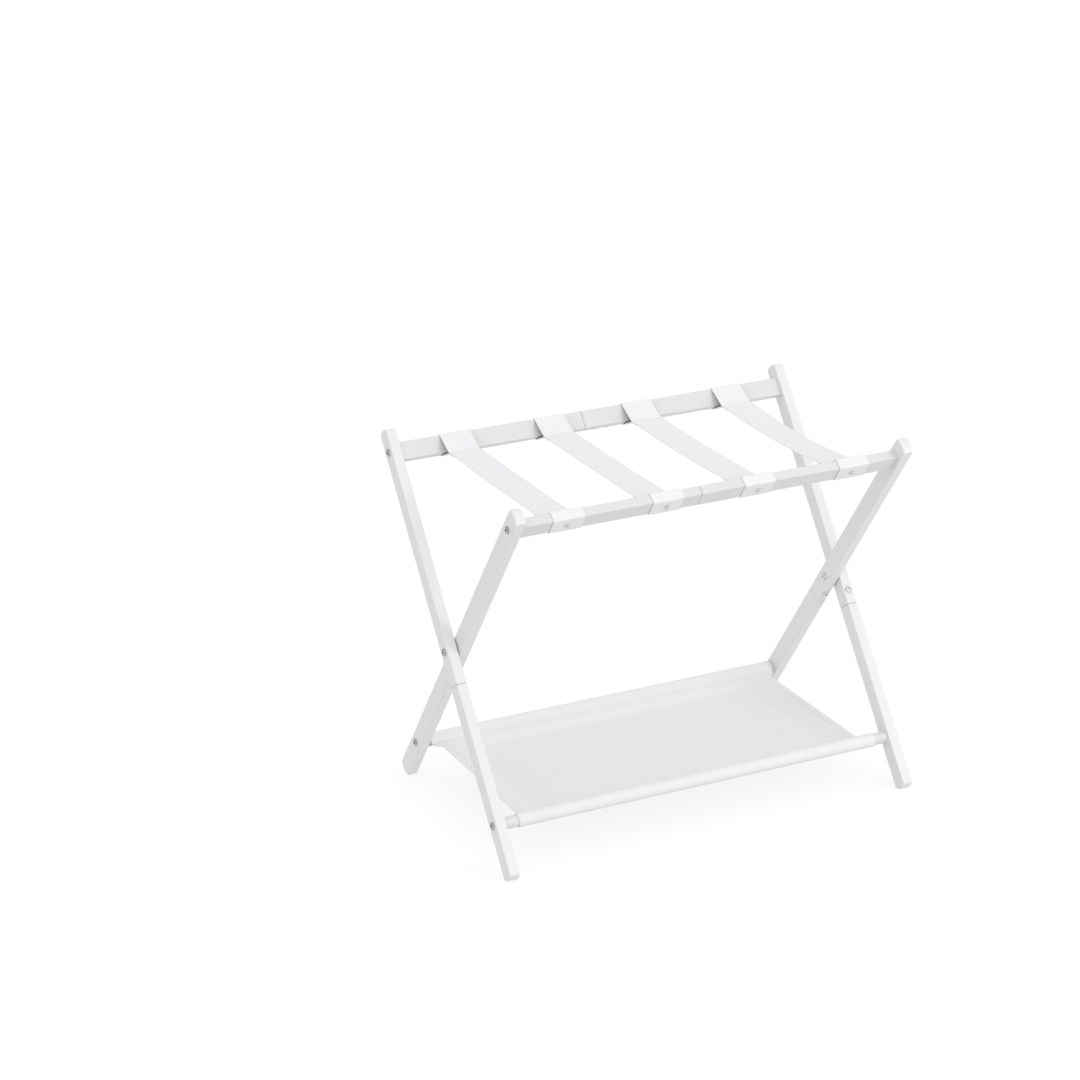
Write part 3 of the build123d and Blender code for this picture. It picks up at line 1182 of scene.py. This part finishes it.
@dataclass(frozen=True)
class Shelf:
    """The cloth shelf: a sleeve sewn round each rod, a sagging sheet between them, hemmed sides."""

    canvas: bpy.types.Material
    thread: bpy.types.Material
    sewing: Stitching = Stitching()
    folds: CornerFolds = CornerFolds()
    thickness: float = 1.0 * MM
    clearance: float = 0.3 * MM
    layer_gap: float = 0.05 * MM
    seam_inset: float = 13 * MM
    seam_drop: float = 3 * MM
    tail: float = 11 * MM
    hem: float = 12 * MM
    hem_fatness: float = 1.7
    edge_round: float = 0.8 * MM
    thinnest: float = 0.3
    edge_columns: tuple[float, ...] = (0.0, 0.15 * MM, 0.45 * MM, 0.8 * MM, 4 * MM, 8 * MM)
    hem_step: float = 0.5 * MM
    column_spacing: float = 6 * MM
    row_spacing: float = 5 * MM
    sag: float = 12 * MM
    end_sag_share: float = 0.82
    side_slope: float = 54 * MM
    side_slope_start: float = 4 * MM
    rear_widening: float = 0.5
    seam_slope: float = 26 * MM
    side_pull: float = 12 * MM
    pull_length: float = 16 * MM
    unevenness: float = 0.5 * MM
    bumps_per_metre: tuple[float, float] = (9.0, 13.0)
    noise_layer: float = 0.7
    sleeve_rows: tuple[float, float] = (1.5 * MM, 8.5 * MM)
    tail_rows: tuple[float, float] = (2.5 * MM, 9.5 * MM)
    row_margin: float = 2 * MM
    hem_row: float = 10 * MM

    def rod(self) -> tuple[Vector, float]:
        """Finds the rear rod in the side view.

        Returns:
            Its middle and its radius.
        """
        low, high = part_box("rear_rod")
        middle = Vector(((low.y + high.y) / 2, (low.z + high.z) / 2))
        return middle, (high.z - low.z) / 2

    def seam(self) -> Vector:
        """Where the rear sleeve is sewn shut, in the side view."""
        middle, _ = self.rod()
        return middle - Vector((self.seam_inset, self.seam_drop))

    def line(self) -> list[Vector]:
        """Draws the side view: the rear sleeve, the sheet without its sag, the front sleeve.

        Returns:
            The middle of the cloth's thickness.
        """
        middle, radius = self.rod()
        seam, half = self.seam(), self.thickness / 2
        low = -half - self.layer_gap
        tail = Bend(seam + Vector((-self.tail, low)))
        under = Bend(seam + Vector((0.0, low)))
        round_rod = Bend(middle, radius + self.clearance + half)
        count = round(seam.x / self.row_spacing)
        depths = [seam.x * (1 - number / count) for number in range(count + 1)]
        sheet = [Bend(Vector((depth, seam.y + half))) for depth in depths]
        rear = pulled_over([tail, under, round_rod, *sheet], self.row_spacing)
        return rear + mirrored(rear)[1:]

    def half_thickness(self, half_width: float, across: float) -> float:
        """Half the cloth's thickness, which the folded hem nearly doubles.

        Args:
            half_width: Half the shelf's width.
            across: A place across it.

        Returns:
            Half its thickness there.
        """
        inset = half_width - abs(across)
        fatness = self.hem_fatness if inset < self.hem else 1.0
        return 0.5 * self.thickness * fatness * rounded_edge(inset, self.edge_round, self.thinnest)

    def lift(self, half_width: float, seam: float, across: float, depth: float) -> float:
        """Hangs the sheet as a shallow tray with soft folds at its corners.

        Args:
            half_width: Half the shelf's width.
            seam: How deep in the rack the rear sleeve's seam is.
            across: A place across the sheet.
            depth: A depth in the rack.

        Returns:
            How far the sheet is lifted above its seams there, which is mostly less than 0.
        """
        if abs(depth) >= seam:
            return 0.0
        from_side = half_width - abs(across)
        from_seam = seam - abs(depth)
        widened = self.side_slope * (1 + self.rear_widening * eased(depth / seam))
        side = eased((from_side + self.side_slope_start) / widened)
        hang = side * eased(from_seam / self.seam_slope)
        share = self.end_sag_share + (1 - self.end_sag_share) * (1 - (depth / seam) ** 2)
        bumps_across, bumps_along = self.bumps_per_metre
        bump = noise.noise(Vector((across * bumps_across, depth * bumps_along, self.noise_layer)))
        uneven = self.unevenness * bump * hang
        return -self.sag * hang * share + self.folds.height_at(from_side, from_seam) + uneven

    def stitches(self, cloth: Cloth, half_width: float) -> Stitches:
        """Sews four rows along each sleeve's seam and one along each side's hem.

        Args:
            cloth: The shelf's strip.
            half_width: Half its width.

        Returns:
            The stitches of all its rows.
        """
        side = half_width - self.row_margin
        shut = cloth.walked_above(self.seam())
        stitches = []
        for inset in (*(shut + row for row in self.sleeve_rows), *self.tail_rows):
            for walked in (inset, cloth.length - inset):
                stitches += self.sewing.across(walked, -side, side)
        first = shut + self.tail
        for across in (self.hem_row - half_width, half_width - self.hem_row):
            stitches += self.sewing.along(across, first, cloth.length - first)
        return stitches

    def build(self) -> None:
        """Makes the shelf and its stitches."""
        low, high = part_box("shelf")
        half_width = (high.x - low.x) / 2
        seam = self.seam().x

        def thickness_at(across: float) -> float:
            """Half the cloth's thickness at a place across it."""
            return self.half_thickness(half_width, across)

        def lift_at(across: float, depth: float) -> float:
            """The sheet's sag."""
            return self.lift(half_width, seam, across, depth)

        def kept_width(depth: float) -> float:
            """The share of its width that the sheet keeps, with its sides pulled in past the sleeves."""
            pulled = eased((seam - abs(depth)) / self.pull_length)
            return 1 - self.side_pull * pulled / half_width

        edge = (*self.edge_columns, self.hem, self.hem + self.hem_step)
        columns = columns_between(half_width, edge, self.column_spacing)
        cloth = Cloth(self.line(), columns, thickness_at, lift_at, 0.0, kept_width)
        shelf = cloth.build("canvas_shelf", self.canvas)
        stitches = self.stitches(cloth, half_width)
        stitching = self.sewing.build("canvas_shelf_stitching", cloth, stitches, self.thread)
        for piece in (shelf, stitching):
            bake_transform(piece)
        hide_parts("shelf")
        LOG.info("shelf: %.0f mm of cloth, %d stitches", cloth.length / MM, len(stitches))


# ---- the wood and its fasteners ----
@dataclass(frozen=True)
class Joinery:
    """The two wooden frames and all that joins them, which keep the frame's shapes."""

    lean: float
    pivot_height: float
    leg_seam_below_pivot: float = 53 * MM
    rail_tone: float = 0.91

    def painted(self) -> dict[str, bpy.types.Material]:
        """Makes the finishes of the painted wood.

        Returns:
            The finish of each kind of piece, by the words that its nodes' names hold.
        """
        lean, tone = self.lean, self.rail_tone
        leg_seam = self.pivot_height * math.cos(lean) - self.leg_seam_below_pivot
        rail_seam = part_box("rear_rail_left")[1].x
        finishes = {
            "outer_leg": PaintedWood("painted_wood_outer_leg", Grain.UP_OUTER_LEG, lean, leg_seam),
            "inner_leg": PaintedWood("painted_wood_inner_leg", Grain.UP_INNER_LEG, lean, leg_seam),
            "rail": PaintedWood("painted_wood_rail", Grain.ALONG_RAIL, lean, rail_seam, tone),
            "rod": PaintedWood("painted_wood_rod", Grain.ALONG_RAIL, lean, None, tone),
        }
        return {kind: finish.material() for kind, finish in finishes.items()}

    def plain(self) -> dict[str, bpy.types.Material]:
        """Makes the other finishes.

        Returns:
            The finish of each slot, and that of the bolts, which are darker than the screws: painted
            shade standing in for the shadow in the bolts' recesses.
        """
        # The bolts' steel is darkened as painted shade, standing in for the shadow in the recesses round
        # their heads.
        bolt_steel_painted_shade = PlatedSteel("plated_steel_painted_shade", bright=(0.60, 0.60, 0.62), dull=(0.20, 0.20, 0.21))
        finishes = {
            "bare_wood": BareWood(),
            "steel": PlatedSteel(),
            "bolts": bolt_steel_painted_shade,
            "nylon": WhiteNylon(),
        }
        return {kind: finish.material() for kind, finish in finishes.items()}

    def dress(self, nodes: Mapping[str, bpy.types.Object], slots: Mapping[str, str]) -> None:
        """Gives each hard node its finish.

        Args:
            nodes: The frame's objects by name.
            slots: The material slot of each node.
        """
        painted, plain = self.painted(), self.plain()
        for name, piece in sorted(nodes.items()):
            slot = slots[name]
            if slot in ("webbing", "canvas"):
                continue
            if slot == "painted_wood":
                finish = next(finish for kind, finish in painted.items() if kind in name)
            else:
                finish = plain["bolts" if name.endswith("_bolts") else slot]
            piece.data.materials.clear()
            piece.data.materials.append(finish)
            LOG.info("%s: %s", name, slot)


# ---- the studio ----
@dataclass(frozen=True)
class Studio:
    """A pale floor, a soft bright surround, one large lamp and the camera."""

    azimuth: float = -25.794
    elevation: float = 21.134
    roll: float = -0.734
    aim: tuple[float, float, float] = (-0.182, 0.0, 0.432)
    distance: float = 4.587
    lens: float = 104.17
    floor_size: float = 60.0
    floor_cells: int = 12
    surround: float = 0.82
    surround_slope: float = 0.32
    horizon_band: float = 0.12
    brightest_way: tuple[float, float, float] = (0.02, -0.60, 0.80)
    lamp_place: tuple[float, float, float] = (1.9, -3.6, 2.2)
    lamp_aim: tuple[float, float, float] = (0.0, 0.0, 0.3)
    lamp_size: float = 1.6
    lamp_power: float = 26.0

    def add_camera(self) -> None:
        """Places the camera and makes it the scene's."""
        turn, rise, roll = map(math.radians, (self.azimuth, self.elevation, self.roll))
        back = Vector((math.sin(turn) * math.cos(rise), -math.cos(turn) * math.cos(rise), math.sin(rise)))
        right = Vector((math.cos(turn), math.sin(turn), 0.0))
        up = back.cross(right)
        level = Matrix((right, up, back)).transposed()
        data = bpy.data.cameras.new("camera")
        data.lens = self.lens
        camera = bpy.data.objects.new("camera", data)
        place = Vector(self.aim) + back * self.distance
        turned_level = level @ Matrix.Rotation(roll, 3, "Z")
        camera.matrix_world = Matrix.Translation(place) @ turned_level.to_4x4()
        bpy.context.scene.collection.objects.link(camera)
        bpy.context.scene.camera = camera

    def add_surround(self) -> None:
        """Fills the world with light from above and the front, and a white band at the horizon."""
        world = bpy.data.worlds.new("surround")
        world.use_nodes = True
        bpy.context.scene.world = world
        nodes = Nodes(world.node_tree)
        way = nodes.add("ShaderNodeTexCoord", {}, {}, "Generated")
        best = Vector(self.brightest_way).normalized()
        settings = {"operation": "DOT_PRODUCT"}
        facing = nodes.add("ShaderNodeVectorMath", settings, {0: way, 1: best}, "Value")
        _, _, rise = nodes.parts_of(way)
        at_horizon = rise.size().under(self.horizon_band)
        gradient = self.surround + facing * self.surround_slope
        strength = gradient + (1.0 - gradient) * at_horizon
        light = nodes.add("ShaderNodeBackground", {}, {"Strength": strength, "Color": (1, 1, 1, 1)})
        nodes.add("ShaderNodeOutputWorld", {}, {"Surface": light})

    def add_lamp(self) -> None:
        """Hangs the lamp and turns it to the rack."""
        data = bpy.data.lights.new("lamp", "AREA")
        data.shape = "DISK"
        data.size = self.lamp_size
        data.energy = self.lamp_power
        lamp = bpy.data.objects.new("lamp", data)
        place = Vector(self.lamp_place)
        aim = (Vector(self.lamp_aim) - place).to_track_quat("-Z", "Y")
        lamp.matrix_world = Matrix.Translation(place) @ aim.to_matrix().to_4x4()
        bpy.context.scene.collection.objects.link(lamp)

    def add_floor(self, height: float) -> None:
        """Lays the floor under the rack's feet.

        Args:
            height: How high the floor is.
        """
        cells = self.floor_cells
        edges = [self.floor_size * (number / cells - 0.5) for number in range(cells + 1)]
        points = [Vector((x, y, height)) for y in edges for x in edges]
        faces = []
        for row in range(cells):
            for column in range(cells):
                a = row * (cells + 1) + column
                faces.append((a, a + 1, a + cells + 2, a + cells + 1))
        floor = new_object("studio_floor", points, faces, StudioPaper().material())
        floor.visible_diffuse = False
        floor.visible_shadow = False
        floor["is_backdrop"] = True

    def build(self, floor_height: float) -> None:
        """Makes the whole studio.

        Args:
            floor_height: How high the floor is.
        """
        self.add_camera()
        self.add_surround()
        self.add_lamp()
        self.add_floor(floor_height)
        bpy.context.scene.view_settings.view_transform = "Standard"
        LOG.info("studio: camera, surround, lamp and floor")


def main() -> None:
    """Builds the rack's looks round its frame, one sub-assembly after another."""
    logging.basicConfig(level=logging.INFO, format="%(name)s %(message)s")
    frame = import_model()
    cad_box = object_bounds()
    Studio().build(cad_box[0].z)
    slots = {part["node"]: part["material_slot"] for part in frame["record"]["subparts"]}
    pivot_height = frame["joints"][0]["pos_m"][2]
    rail = Rail.of_node("rear_rail_left", pivot_height)
    Joinery(rail.lean, pivot_height).dress(frame["nodes"], slots)
    thread = SewingThread().material()
    webbing = WovenCloth(
        name="webbing",
        weave=Weave.TWILL,
        light=(0.850, 0.850, 0.868),
        shade=(0.785, 0.785, 0.806),
        across_pitch=1.5 * MM,
        along_pitch=0.9 * MM,
        relief_depth=0.25 * MM,
    )
    canvas = WovenCloth(
        name="canvas",
        weave=Weave.PLAIN,
        light=(0.825, 0.825, 0.828),
        shade=(0.775, 0.775, 0.778),
        across_pitch=0.7 * MM,
        along_pitch=0.7 * MM,
        relief_depth=0.12 * MM,
    )
    Straps(rail, webbing.material(), thread).build()
    Shelf(canvas.material(), thread).build()


if __name__ == "__main__":
    main()
